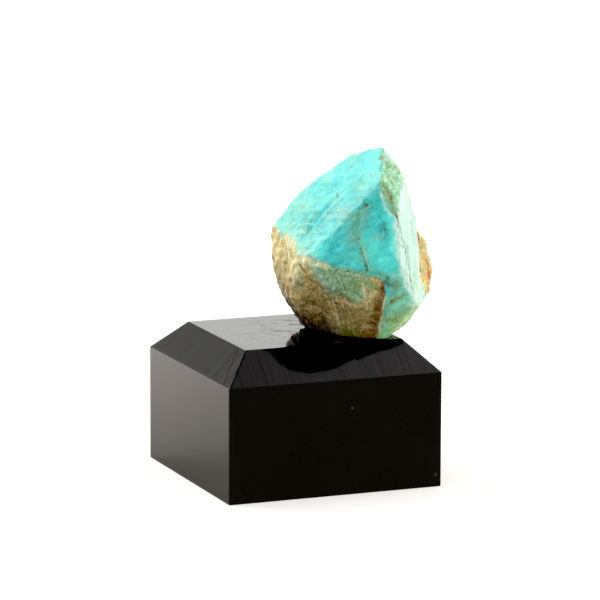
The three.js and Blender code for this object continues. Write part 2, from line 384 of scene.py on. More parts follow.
# ---- Where the stone's colours lie ----
# Strokes of colour: mask, strength, width, then turns and tilts in order. "bare" is no colour of its
# own: it keeps the crust, the window and the umber off.
STROKES = [
    # the front face's pit, broken vein, notch and haze
    ("vein", 1.0, 0.42, [(0.5, 42)]),
    ("vein", 0.45, 0.3, [(-1, 49), (0, 45)]),
    ("olive", 0.25, 0.6, [(-4, 54), (-1, 46)]),
    ("olive", 0.5, 1.1, [(-5, 36), (-12, 26), (-14, 11)]),
    ("olive", 0.45, 0.7, [(-10, 14), (-7, -4), (-5, -14)]),
    ("rust", 0.25, 0.4, [(4, 12)]),
    ("vein", 0.8, 0.26, [(-10, 12)]),
    ("vein", 0.9, 0.26, [(-9, 3)]),
    ("vein", 0.6, 0.15, [(-9, 2), (-7, -5), (-6, -9)]),
    ("vein", 0.8, 0.26, [(-7, -5)]),
    ("vein", 0.8, 0.3, [(-6, -10), (-6, -14)]),
    ("milk_and_highlight", 0.35, 0.2, [(-8, 4), (-6, -2), (-5, -7)]),
    ("vein", 0.55, 0.24, [(9.5, 19), (10.5, 15.5)]),
    ("teal", 0.6, 0.4, [(8.5, 20), (9.5, 16), (8, 11)]),
    ("teal", 0.5, 0.5, [(-1, 42), (3, 38)]),
    ("vein", 0.42, 0.2, [(8.5, 29), (9.5, 24), (10, 20)]),
    ("deep", 0.9, 0.7, [(8, 22), (7, 13)]),
    ("teal", 0.5, 0.45, [(3, 50), (8, 53)]),
    ("vein", 0.6, 0.25, [(13, 30.5)]),
    ("deep", 0.8, 1.5, [(-42, 0), (-35, 6), (-28, 15)]),
    ("glassy", 0.9, 0.8, [(-57, -5), (-51, 0)]),
    ("glassy", 1.0, 0.5, [(5, -4), (10, -3)]),
    ("deep", 0.6, 1.2, [(-2, 30), (2, 18), (4, 6)]),
    ("glassy", 0.6, 1.6, [(0, 2), (6, 0), (8, -8)]),
    ("glassy", 1.1, 0.45, [(15, 30), (13.5, 20), (11.5, 8), (10.5, -4), (12.5, -12), (17, -20)]),
    ("milk_and_highlight", 0.9, 0.14, [(14, 46), (13.5, 38), (13, 33), (15, 27), (16.5, 24)]),
    ("moss", 0.75, 0.3, [(16, 43), (15.5, 36), (16, 30)]),
    # painted highlights: a soft bright streak along the ridge between the left slope and the front, and
    # short glints along the front's lower edge
    ("milk_and_highlight", 0.4, 0.25, [(-42, 14), (-35, 26), (-28, 37)]),
    ("milk_and_highlight", 0.5, 0.13, [(-30, -14), (-19, -15.5)]),
    ("bare", 1.2, 0.32, [(-40, -15), (-30, -16), (-21, -16.5), (-10, -16.5)]),
    ("milk_and_highlight", 1.0, 0.13, [(-62, -9), (-50, -12)]),
    # the left slope's specks, hair lines and worn patch
    ("vein", 0.7, 0.3, [(-78, 77), (-64, 73)]),
    ("vein", 0.6, 0.3, [(124, 84)]),
    ("olive", 0.6, 0.35, [(-102, 43)]),
    ("vein", 0.55, 0.2, [(-101, 37), (-99, 27), (-95, 16), (-87, 6)]),
    ("vein", 0.4, 0.2, [(-121, 13), (-122, 21)]),
    ("bloom", 0.5, 0.9, [(-61, 50), (-36, 52), (-22, 41)]),
    ("deep", 0.6, 1.5, [(-64, 24), (-42, 37), (-25, 43)]),
    ("olive", 0.16, 1.4, [(-66, 20), (-44, 34), (-28, 40)]),
    ("olive", 0.22, 1.6, [(-128, 28), (-108, 28), (-96, 14)]),
    ("vein", 0.35, 0.16, [(-61, 50), (-50, 43)]),
    ("vein", 0.35, 0.16, [(-46, 53), (-34, 44)]),
    ("vein", 0.35, 0.16, [(-31, 49), (-20, 41)]),
    ("moss", 0.55, 0.9, [(-120, 14), (-105, 14)]),
    ("moss", 0.6, 0.7, [(-131, 12), (-124, 10)]),
    ("deep", 0.9, 0.6, [(-1, 48), (4, 53), (8, 50)]),
    ("moss", 0.45, 0.8, [(-131, 18)]),
    ("moss", 0.45, 0.8, [(-137, 33), (-130, 40)]),
    ("olive", 0.25, 0.6, [(-137, 51)]),
    ("olive", 0.3, 0.8, [(-124, 36), (-126, 22)]),
    ("milk_and_highlight", 0.35, 0.6, [(-62, 0), (-58, 12)]),
    ("olive", 0.16, 1.6, [(-84, 14), (-70, 6)]),
    # the top facet, the white flank and the rusty side
    ("milk_and_highlight", 0.8, 0.6, [(44, 65), (62, 60)]),
    ("olive", 0.9, 0.35, [(42, 66)]),
    ("moss", 0.8, 0.5, [(20, 30), (20, 24)]),
    ("olive", 0.6, 0.55, [(57, 57), (50, 55)]),
    ("rust", 0.3, 0.5, [(32, 53)]),
    ("umber_and_shade", 0.5, 0.35, [(17, 50)]),
    ("olive", 0.85, 0.5, [(18, 47), (19, 42), (18, 37), (19, 32)]),
    ("umber_and_shade", 0.4, 0.3, [(20, 43), (20, 37)]),
    ("crack", 0.75, 0.14, [(20, 44), (22, 40), (20, 36), (22, 33)]),
    ("crack", 0.7, 0.14, [(25, 44), (21, 39), (18, 33)]),
    ("olive", 0.9, 0.4, [(17.5, 33), (18, 27)]),
    ("milk_and_highlight", 1.1, 0.38, [(58, 53), (60, 49), (43, 42), (36, 37), (30, 31)]),
    ("mint_and_rim_light", 0.8, 0.6, [(38, 50), (34, 38), (32, 33)]),
    ("moss", 0.9, 0.4, [(25, 35), (22, 29), (20, 26)]),
    ("olive", 0.7, 0.3, [(18, 30), (23, 29)]),
    ("rust", 0.4, 0.3, [(55, 55)]),
    # painted light: this bright line along the front's right edge stands in for the white flank's strong
    # light where it reaches past the edge
    ("milk_and_highlight", 1.4, 0.28,
     [(15.8, 21), (14, 9), (13, -0.5), (14.5, -10), (20.5, -20.5), (27.5, -29), (32, -32)]),
    ("crack", 1.0, 0.22, [(18, 26), (17.5, 18), (17.5, 10), (19.5, 5), (23, 1), (24.5, -2)]),
    ("crack", 1.0, 0.2, [(22, 1), (23, -6), (25, -12), (27.5, -20)]),
    ("moss", 0.4, 0.35, [(36, 22), (37, 0), (34, -22)]),
    ("moss", 0.3, 0.3, [(48, 18), (47, 0), (42, -20)]),
    ("tan", 1.1, 0.9, [(67, -4), (69, -12), (66, -22), (60, -29)]),
    ("tan", 1.5, 0.6, [(69, 8), (65, 1), (58.5, -8), (53.5, -15), (51.5, -24)]),
    ("rust", 0.8, 0.35, [(71, 8), (68.5, 2), (64, -2)]),
    ("rust", 0.85, 0.75, [(65, -13), (63, -19), (61, -25)]),
    ("rust", 1.8, 0.4, [(61, 2), (57.5, -9), (54, -16), (55, -24)]),
    ("milk_and_highlight", 0.9, 0.9, [(72, 8), (75, -2), (78, -9)]),
    ("cream", 0.7, 0.4, [(71, -3), (73, -11)]),
    ("cream", 0.7, 0.5, [(79, -12), (81, -22)]),
    ("rust", 1.6, 0.68, [(69, -17), (69.5, -21), (68.5, -29)]),
    ("crack", 1.1, 0.32, [(66, 12), (61.5, 1), (58, -12), (53, -20)]),
    ("umber_and_shade", 0.5, 0.25, [(69, -14), (70, -24)]),
    # the heel below the front face
    ("olive", 0.85, 0.5, [(10, -35), (14, -33), (18, -30.5), (22, -28.5)]),
    ("olive", 0.8, 0.45, [(11.5, -36.5), (14, -35)]),
    ("olive", 0.5, 0.7, [(12, -19), (15, -22)]),
    ("vein", 1.1, 0.42, [(13, -33.5)]),
    ("olive", 0.75, 0.6, [(14, -45), (19, -43), (24, -38), (28, -36)]),
    ("glassy", 1.0, 0.5, [(18, -36), (24, -33)]),
    ("deep", 1.0, 0.9, [(9, -20), (11, -24), (16, -27)]),
    ("teal", 0.75, 0.8, [(8, -20), (11.5, -23)]),
    ("teal", 1.2, 0.28, [(6.5, -15.5), (7, -19)]),
    ("teal", 0.7, 0.5, [(14, -20), (13, -27)]),
    ("teal", 0.5, 0.7, [(9, -38), (13, -40)]),
    ("vein", 0.6, 0.55, [(7, -20), (9, -22)]),
    ("glassy", 0.9, 0.5, [(20, -23), (25, -29)]),
    ("glassy", 1.1, 0.7, [(22, -30), (26, -32)]),
    ("milk_and_highlight", 1.2, 0.45, [(29, -31.5), (30.5, -35)]),
    ("lime", 1.0, 1.3, [(31, -36), (26, -43), (20, -50), (14, -56)]),
    # the crust's teal window, cream seams, layered strip and dark hollows, and painted shade on the
    # underside by the foot
    ("bloom", 0.9, 0.6, [(-74, -9), (-66, -10), (-58, -12)]),
    ("crack", 0.7, 0.19, [(-76, -17.5), (-73, -20.5), (-69.5, -25)]),
    ("crack", 0.4, 0.14, [(-79.5, -11), (-77, -16)]),
    ("cream", 0.8, 0.35, [(-82, -9), (-80, -16)]),
    ("crack", 0.5, 0.16, [(-36, -18), (-30, -18.5), (-21, -19), (-8, -18.5)]),
    ("cream", 0.9, 0.3, [(-54, -15), (-49, -16.5), (-44, -16.5)]),
    ("bloom", 0.7, 0.45, [(-13, -20), (-6, -20)]),
    ("window", 1.0, 1.0, [(-58, -17), (-45, -19), (-28, -20), (-12, -20)]),
    ("window", 1.0, 1.3, [(-50, -26), (-36, -30), (-22, -30), (-12, -28)]),
    ("window", 0.9, 1.0, [(-42, -38), (-30, -41), (-17, -40), (-10, -34)]),
    ("window", 0.5, 0.9, [(-8, -22), (-4, -26)]),
    ("olive", 0.5, 0.8, [(-12, -31), (-8, -22)]),
    ("bloom", 0.8, 0.6, [(-58, -18), (-54, -24), (-49, -33), (-43, -40)]),
    ("bloom", 0.45, 0.9, [(-79, -20), (-80, -33)]),
    ("tan", 0.5, 1.0, [(-72, -18), (-68, -30)]),
    ("olive", 0.45, 0.8, [(-6, -21), (-2, -24)]),
    ("olive", 0.4, 0.6, [(-3, -30)]),
    ("olive", 0.5, 0.6, [(9, -33), (9, -42), (11, -52)]),
    ("crack", 0.7, 0.22, [(-3, -17)]),
    ("crack", 0.7, 0.2, [(-7, -20)]),
    ("umber_and_shade", 0.7, 1.0, [(-74, -48), (-64, -54), (-50, -54)]),
    ("umber_and_shade", 0.6, 0.6, [(-50, -50), (-36, -54), (-20, -54)]),
    ("umber_and_shade", 0.9, 0.7, [(-34, -49)]),
    ("umber_and_shade", 0.6, 0.7, [(-12, -53), (-6, -60)]),
    ("umber_and_shade", 0.5, 0.4, [(1, -35), (1, -38)]),
    ("olive", 0.6, 0.3, [(5.5, -29), (6, -34)]),
    ("olive", 0.5, 0.35, [(1.5, -14), (5, -14.5)]),
    ("umber_and_shade", 0.5, 0.5, [(1.5, -26)]),
    # painted shade over the crust's own brown: these two strokes darken the underside where it turns in
    # towards the block
    ("umber_and_shade", 1.0, 1.6, [(-85, -58), (-60, -68), (-45, -76)]),
    ("umber_and_shade", 1.0, 2.0, [(-130, -50), (-108, -58), (-90, -66)]),
    # painted shade: these strokes darken the underside along the foot and at the lower back left, which
    # the block's top mirrors
    ("underside_shade", 1.2, 1.2,
     [(-118, -57), (-92, -63), (-83, -65), (-74, -67), (-58, -69), (-35, -71), (-12, -76)]),
    ("underside_shade", 1.0, 3.0, [(-90, -75), (-40, -80)]),
    ("underside_shade", 1.3, 2.6, [(-160, -34), (-140, -44), (-122, -56), (-112, -61)]),
    ("underside_shade", 1.4, 1.0, [(-14, -75), (1, -75)]),
    ("cream", 0.7, 0.22, [(-8, -26), (-5, -39)]),
    ("cream", 0.5, 0.22, [(-5, -39), (0, -27)]),
    ("cream", 0.5, 0.22, [(-37, -49), (-20, -48), (-4, -42)]),
    ("cream", 0.4, 0.22, [(-40, -49), (-37, -57), (-30, -64)]),
    ("crack", 0.9, 0.4, [(-36, -51)]),
    ("crack", 0.9, 0.4, [(-70, -52)]),
    ("olive", 0.6, 1.3, [(-17, -63)]),
    ("crust", 1.5, 0.3, [(0, -17.5), (3, -19), (3.5, -30)]),
    ("strip", 1.0, 0.45, [(4.2, -19.5), (4.8, -30)]),
    ("strip", 1.0, 0.8, [(3, -32), (4.7, -39), (6, -46)]),
    ("strip", 0.9, 1.2, [(4.4, -48), (4, -58)]),
    ("seam", 0.6, 0.17, [(-3, -45), (4, -43)]),
    ("seam", 0.6, 0.18, [(-4, -50), (4, -48)]),
    ("seam", 0.6, 0.18, [(-6, -56), (4, -53)]),
    ("seam", 0.5, 0.16, [(-4, -62), (5, -58)]),
    ("cream", 0.8, 0.11, [(6.5, -29), (7, -40)]),
    ("cream", 0.8, 0.18, [(7.5, -42), (9, -52)]),
    # the tan left end
    ("rust", 0.7, 0.35, [(-130, 5)]),
    ("vein", 0.5, 0.35, [(-119, -15)]),
    ("rust", 1.2, 0.5, [(-100, -34), (-97, -39)]),
    ("crack", 0.8, 0.22, [(-102, -33), (-100, -38)]),
    ("cream", 0.9, 0.5, [(-112, 0), (-101, -9), (-90, -17)]),
    ("tan", 1.2, 0.4, [(-118, 4), (-106, 0.5), (-95, -3), (-86, -7)]),
    ("cream", 0.6, 0.4, [(-108, 2), (-96, -2)]),
    ("cream", 1.6, 0.7, [(-72, -12), (-67, -14)]),
    ("olive", 0.8, 0.5, [(-118.5, -16.5)]),
    ("umber_and_shade", 0.9, 0.6, [(-101, -36)]),
    ("moss", 0.6, 0.6, [(-108, 9), (-94, 0), (-80, -5)]),
    ("olive", 0.4, 0.5, [(-115, -14), (-112, -22)]),
    ("umber_and_shade", 0.3, 1.3, [(-117, -20), (-104, -36)]),
    ("tan", 0.8, 0.9, [(-94, -35), (-85, -40), (-82, -45)]),
    ("cream", 0.9, 0.6, [(-125.5, -30.5)]),
    ("cream", 0.6, 0.4, [(-107, -41)]),
    # the back's cracks and stains
    ("crack", 0.8, 0.35, [(95, 45), (115, 20), (135, 8), (160, 2), (185, -10)]),
    ("crack", 0.7, 0.3, [(-142, 14), (-150, -12), (-165, -40)]),
    ("olive", 0.6, 1.2, [(150, 25), (165, 45)]),
    ("milk_and_highlight", 0.6, 0.5, [(100, 5), (120, -8), (140, -10)]),
    ("rust", 0.6, 0.8, [(105, 35), (120, 22)]),
]

# Patches that cover whole faces: the faces, how ragged the border is, how far inside it the colour
# starts and is full, and a seed.
PATCHES = {
    "crust": ((*CRUSTY, "crust_left", "foot"), 0.12, 0.1, 0.34, 41),
    "tan": (("crust_left",), 0.4, -0.6, 0.5, 43),
    "sandy": (("rust_side", "rust_top"), 0.15, -0.2, 0.1, 65),
    "upper": (("top_right", "top_rear"), 0.25, -0.25, 0.25, 47),
    "heel": (("lower_right",), 0.6, -0.2, 1.5, 49),
    "mint_and_rim_light": (("right_flank", "under_rust"), 0.12, -0.12, 0.12, 53),
    "lime": (("under_right", "rust_side", "rust_top"), 0.15, -0.2, 0.1, 63),
}
BORDER_SIZE, BORDER_LAYERS = 2.2, 4  # the noise that a border follows: its largest bays, and its layers
# painted light: the flank's colour on the faces in front stands in for the flank's strong light past the
# edge
FLANK_LIGHT_RIM = 0.34  # how far the white flank's colour reaches over onto the faces in front
# Blotches: strength, size of the largest, layers of noise, where the noise starts to show and shows
# fully, and a seed.
BLOTCHES = {
    "umber_and_shade": (0.5, 3.2, 4, 0.1, 0.7, 83),
    "moss": (0.6, 2.4, 4, 0.1, 0.8, 51),
    "deep": (0.7, 3.6, 4, -0.3, 0.5, 87),
    "olive": (0.5, 1.2, 4, 0.15, 0.5, 85),
    "rust": (0.3, 0.9, 4, 0.2, 0.7, 57),
    "pale": (0.6, 1.2, 4, -0.5, 0.5, 61),
    "wear": (0.4, 1.6, 3, -0.1, 0.7, 79),
    "broken": (0.45, 0.7, 3, -0.5, 0.4, 77),
}
WORN_EDGE = (0.995, 0.6)  # the main face's share of a place where wear starts, and is full
SANDY_TAN, MOSSY_HEEL, MOSSY_SLOPE = 0.85, 0.4, 0.5  # how much tan or moss those faces take
UNBROKEN = 0.55  # what is left of a stroke between its blotches
SHAKE, SHAKE_SIZE, SHAKE_LAYERS, SHAKE_SEEDS = 0.22, 0.8, 3, (67, 71, 73)  # how strokes wander


def patch(name, points, pulls, wider=0):
    """A patch's strength: a smooth step on how far inside its border a point lies.

    That is its faces' strongest pull over the strongest of the rest, less 1, times the radius, plus
    noise.
    """
    faces, ragged, low, high, seed = PATCHES[name]
    mine = [NAMES.index(face) for face in faces]
    rest = [i for i in range(len(NAMES)) if i not in mine]
    ratio = pulls[:, mine].max(axis=1) / np.maximum(pulls[:, rest].max(axis=1), 1e-9)
    inside = (ratio - 1) * np.linalg.norm(points, axis=1)
    inside += ragged * fractal(points, BORDER_SIZE, BORDER_LAYERS, seed)
    return smooth_step(low, high, inside + wider)


def blotches(name, points):
    """A kind of blotch's strength at each point, from fractal noise."""
    strength, size, layers, low, high, seed = BLOTCHES[name]
    return strength * smooth_step(low, high, fractal(points, size, layers, seed))


def stone_masks(points, shares, pulls):
    """How much of each colour lies at each point, painted shade and painted light among them: its faces'
    colours, then the strokes.
    """
    masks = {layer[0]: np.zeros(len(points)) for layer in LAYERS}
    masks["bare"] = np.zeros(len(points))
    masks.update(face_colours(points, shares, pulls))
    add_strokes(masks, points)
    bare = np.clip(masks.pop("bare"), 0, 1)
    for name in ("crust", "window", "umber_and_shade"):
        masks[name] *= 1 - bare
    return masks


def face_colours(points, shares, pulls):
    """The colours that follow the faces: patches, and blotches on some faces alone."""
    crust, upper = patch("crust", points, pulls), patch("upper", points, pulls)
    tan = np.maximum(patch("tan", points, pulls), SANDY_TAN * patch("sandy", points, pulls))
    slope, back = share_of(shares, "left_slope"), share_of(shares, "back_left", "back_top", "back_right")
    moss = upper + MOSSY_HEEL * patch("heel", points, pulls)
    moss += (MOSSY_SLOPE * slope + back) * blotches("moss", points)
    pale = (slope + back) * blotches("pale", stretched(points, RIDGE_WAY, 3))
    on_edge = smooth_step(*WORN_EDGE, shares.max(axis=1)) * (1 - crust)
    # the rim: the white flank's colour carried over onto the front faces, painted light for the flank's
    # strong light past the edge
    rim = FLANK_LIGHT_RIM * np.minimum(2 * share_of(shares, "front", "lower_right"), 1)
    return {
        "pale": np.maximum(pale, on_edge * blotches("wear", points)),
        "deep": back * blotches("deep", points),
        "mint_and_rim_light": patch("mint_and_rim_light", points, pulls, rim),
        "moss": moss,
        "lime": patch("lime", points, pulls),
        "crust": crust,
        "tan": tan,
        "olive": upper * blotches("olive", points),
        "rust": tan * blotches("rust", stretched(points, FIBRE_WAY, 3)),
        "umber_and_shade": crust * blotches("umber_and_shade", points),
    }


def add_strokes(masks, points):
    """Lays each stroke over its mask, by the gap between a point and the stroke's route.

    A stroke that the material cuts falls off evenly: strength times 1 - gap / width. The others are
    bell-shaped and blotchy: strength times exp(-(gap / width) squared). Noise shakes the points
    first, by less where the stroke is thin.
    """
    shake = SHAKE * np.stack([fractal(points, SHAKE_SIZE, SHAKE_LAYERS, s) for s in SHAKE_SEEDS], axis=1)
    broken = UNBROKEN + blotches("broken", points)
    radius = np.linalg.norm(points, axis=1)
    for name, strength, width, route in STROKES:
        stops = directions(*np.array(route * 2 if len(route) == 1 else route, float).T)
        gap = radius * gap_to_route(unit(points + min(1, 2 * width) * shake), stops, on_ball=True)
        if name in CUTS:
            stroke = strength * (1 - gap / width)
        else:
            stroke = strength * broken * np.exp(-((gap / width) ** 2))
        masks[name] = np.maximum(masks[name], stroke)


# ---- Materials ----
class Nodes:
    """Adds and joins the nodes of one material, or of a world."""

    def __init__(self, name, world=None):
        self.material = world or bpy.data.materials.new(name)
        self.material.use_nodes = True
        self.tree = self.material.node_tree
        self.tree.nodes.clear()
        self.output = self.add("ShaderNodeOutputWorld" if world else "ShaderNodeOutputMaterial")

    def add(self, kind, inputs=None, **settings):
        """A new node with its settings, and its sockets joined or set."""
        node = self.tree.nodes.new(kind)
        for key, value in settings.items():
            setattr(node, key, value)
        for key, value in (inputs or {}).items():
            self.put(node.inputs[key], value)
        return node

    def put(self, socket, value):
        """Joins an output to a socket, or sets the socket to a number, vector or colour."""
        if isinstance(value, bpy.types.NodeSocket):
            self.tree.links.new(value, socket)
        else:
            socket.default_value = value

    def finished(self, shader):
        """The material, with a shader on its surface."""
        self.put(self.output.inputs["Surface"], shader.outputs[0])
        return self.material

    def math(self, operation, a, b=0.0, c=0.0):
        """One sum. MULTIPLY_ADD is a times b, plus c."""
        return self.add("ShaderNodeMath", {0: a, 1: b, 2: c}, operation=operation).outputs[0]

    def mix(self, share, a, b, blend="MIX"):
        """Colour a, with that share of colour b over it."""
        node = self.add("ShaderNodeMix", data_type="RGBA", blend_type=blend)
        self.put(node.inputs[0], share)
        self.put(node.inputs[6], a)
        self.put(node.inputs[7], b)
        return node.outputs[2]

    def ramp(self, low, high, value, least=0.0, most=1.0):
        """A smooth rise from least to most while the value goes from low to high."""
        inputs = {"Value": value, "From Min": low, "From Max": high, "To Min": least, "To Max": most}
        return self.add("ShaderNodeMapRange", inputs, interpolation_type="SMOOTHSTEP").outputs[0]

    def veil(self, colour, over, strength, low, high, pattern):
        """A colour with another laid over it, where a pattern rises from low to high."""
        share = self.math("MULTIPLY", self.ramp(low, high, pattern), strength)
        return self.mix(share, colour, over)

    def along(self, vector, way):
        """How far a vector reaches along a way."""
        node = self.add("ShaderNodeVectorMath", {0: vector, 1: tuple(way)}, operation="DOT_PRODUCT")
        return node.outputs["Value"]

    def mask(self, name):
        """A number that the mesh holds at each point."""
        return self.add("ShaderNodeAttribute", attribute_name=name).outputs["Fac"]

    def noise(self, where, size, detail=4.0, roughness=0.6, twist=0.0):
        """Noise whose largest blotches are about that many millimetres across."""
        inputs = {"Vector": where, "Scale": 1 / (size * MM), "Detail": detail, "Roughness": roughness,
                  "Distortion": twist}
        return self.add("ShaderNodeTexNoise", inputs).outputs["Fac"]

    def drawn_out(self, where, way, factor):
        """Coordinates in which a pattern is that many times longer along one way."""
        turn = Vector(way).to_track_quat("X", "Z").to_euler()
        inputs = {"Vector": where, "Rotation": turn, "Scale": (factor, 1, 1)}
        return self.add("ShaderNodeMapping", inputs, vector_type="TEXTURE").outputs[0]


def srgb(red, green, blue):
    """A shader colour from everyday 0 to 255 values."""
    c = np.array([red, green, blue]) / 255
    linear = np.where(c <= 0.04045, c / 12.92, ((c + 0.055) / 1.055) ** 2.4)
    return (*linear.tolist(), 1.0)


# Colour layers over the blue-green body, in order: mask, the two colours that noise mixes, the
# noise's size in millimetres, and how far it is drawn out along a way, if it is.
LAYERS = [
    ("pale", srgb(72, 202, 192), srgb(98, 230, 222), 0.7, (RIDGE_WAY, 2)),
    ("deep", srgb(40, 172, 172), srgb(74, 205, 208), 0.8, None),
    ("glassy", srgb(84, 234, 216), srgb(108, 250, 234), 0.8, None),
    ("mint_and_rim_light", srgb(162, 208, 186), srgb(198, 236, 214), 1.2, (FLANK_WAY, 5)),
    ("moss", srgb(130, 200, 144), srgb(180, 234, 192), 0.6, None),
    ("lime", srgb(134, 198, 108), srgb(194, 232, 156), 0.8, None),
    # greenish white, which strokes also lay down as painted highlights and painted light
    ("milk_and_highlight", srgb(184, 240, 222), srgb(222, 255, 244), 0.4, None),
    ("crust", srgb(134, 117, 68), srgb(202, 190, 130), 0.35, None),
    ("tan", srgb(180, 156, 92), srgb(242, 234, 168), 0.25, (FIBRE_WAY, 7)),
    ("window", srgb(96, 142, 106), srgb(166, 202, 158), 0.4, None),
    ("bloom", srgb(124, 178, 160), srgb(196, 222, 196), 0.3, None),
    ("teal", srgb(40, 126, 108), srgb(78, 158, 136), 0.5, None),
    ("olive", srgb(104, 116, 44), srgb(146, 160, 84), 0.5, None),
    ("strip", srgb(78, 58, 26), srgb(146, 118, 68), 0.5, (LAYER_WAY, 3)),
    ("rust", srgb(176, 104, 26), srgb(236, 188, 98), 0.4, (FIBRE_WAY, 5)),
    # the crust's brown, which two strokes also lay on the underside as painted shade
    ("umber_and_shade", srgb(70, 50, 26), srgb(124, 97, 54), 0.35, None),
    # painted shade for the underside
    ("underside_shade", srgb(60, 54, 48), srgb(92, 84, 76), 0.35, None),
    ("cream", srgb(206, 198, 140), srgb(240, 236, 196), 0.35, None),
    ("vein", srgb(16, 52, 46), srgb(60, 100, 80), 0.4, None),
    ("crack", srgb(60, 46, 30), srgb(114, 94, 64), 0.4, None),
    ("seam", srgb(190, 180, 130), srgb(236, 236, 205), 0.35, None),
]
# Where the material cuts the masks whose strokes fall off evenly: from, to.
CUTS = {
    "window": (-0.2, 0.45),
    "strip": (0.05, 0.6),
    "vein": (0.05, 0.8),
    "crack": (0.05, 0.8),
    "seam": (0.05, 1.0),
}
FRAY = 1.2  # how much noise frays those cuts
NOISE_MIDDLE = 0.55  # the value about which it frays them


def stone_material():
    """Blue-green feldspar under its crusts and veins, with streaks along the cleavage."""
    n = Nodes("amazonite")
    here = n.add("ShaderNodeTexCoord").outputs["Object"]
    clouds = n.noise(here, 3.5, 6, 0.65, 0.5)
    flecks = n.noise(here, 0.8, 5, 0.75)
    mottle = n.noise(here, 1.5, 5, 0.7, 0.8)
    streaks = n.noise(n.drawn_out(here, RIDGE_WAY, 4), 1.1, 6, 0.65)
    specks = n.noise(n.drawn_out(here, RIDGE_WAY, 2), 0.4, 4, 0.65, 0.4)
    grain = n.noise(here, 0.3, 4, 0.75)
    fray = n.math("MULTIPLY_ADD", n.noise(here, 0.45, 5, 0.75), FRAY, -FRAY * NOISE_MIDDLE)

    colour = n.mix(n.ramp(0.38, 0.64, clouds), srgb(46, 190, 184), srgb(82, 226, 218))
    colour = n.veil(colour, srgb(54, 160, 146), 0.35, 0.42, 0.66, flecks)
    colour = n.veil(colour, srgb(92, 190, 146), 0.45, 0.5, 0.66, mottle)
    colour = n.veil(colour, srgb(105, 220, 206), 0.4, 0.5, 0.68, streaks)
    for mask, dark, light, size, drawn in LAYERS:
        where = n.drawn_out(here, *drawn) if drawn else here
        shade = n.mix(n.ramp(0.36, 0.64, n.noise(where, size, 5, 0.7)), dark, light)
        share = n.mask(mask)
        if mask in CUTS:
            cut = n.ramp(*CUTS[mask], n.math("ADD", share, fray))
            share = n.math("MULTIPLY", cut, n.ramp(0.0, 0.15, share))
        colour = n.mix(share, colour, shade)
    colour = n.veil(colour, srgb(90, 120, 80), 0.4, 0.62, 0.7, specks)
    colour = n.mix(n.math("MULTIPLY", n.ramp(0.45, 0.7, grain), 0.5), colour, (1, 1, 1, 1), "SOFT_LIGHT")

    dull = n.math("MAXIMUM", n.mask("crust"), n.mask("tan"))
    rough = n.math("MULTIPLY_ADD", grain, 0.2, n.math("MULTIPLY_ADD", dull, 0.25, 0.35))
    bump_height = n.math("MULTIPLY_ADD", grain, 0.6, n.math("MULTIPLY", streaks, 0.4))
    bump = n.add("ShaderNodeBump", {"Strength": 0.5, "Distance": 0.12 * MM, "Height": bump_height})
    shader = n.add("ShaderNodeBsdfPrincipled", {
        "Base Color": colour, "Roughness": rough, "Normal": bump.outputs[0], "IOR": 1.53,
        "Sheen Weight": 0.15, "Sheen Roughness": 0.4,
        "Subsurface Weight": 0.15, "Subsurface Radius": (0.6, 1.0, 1.0), "Subsurface Scale": 0.3 * MM,
    })
    return n.finished(shader)


# ---- The display block ----
BLOCK_SIDE, WALL_HEIGHT = 30.0, 15.4
BEVEL_IN = np.array([3.9, 4.4])  # how far the sloping band leans in along X and Y
ARRIS = 0.1  # radius of the polished edges
ARRIS_STEPS = 5
LAND = 0.35  # flat strip kept beside each arris, so that the walls shade flat
TURN_IN = 3.0  # how far the profile runs on, under the block and over its top, to the flat caps


def rounded(a, b, c):
    """Points on the arc that rounds corner b between a and c, and a point on either side of it."""
    into, out = unit(b - a), unit(c - b)
    turn = np.arccos(np.clip(into @ out, -1, 1))
    back = ARRIS * np.tan(turn / 2)
    side = ARRIS * unit(out - into * (into @ out))
    centre = b - into * back + side
    swing = np.linspace(0, turn, ARRIS_STEPS)[:, None]
    arc = centre + np.sin(swing) * ARRIS * into - np.cos(swing) * side
    return np.vstack([b - into * (back + LAND), arc, b + out * (back + LAND)])


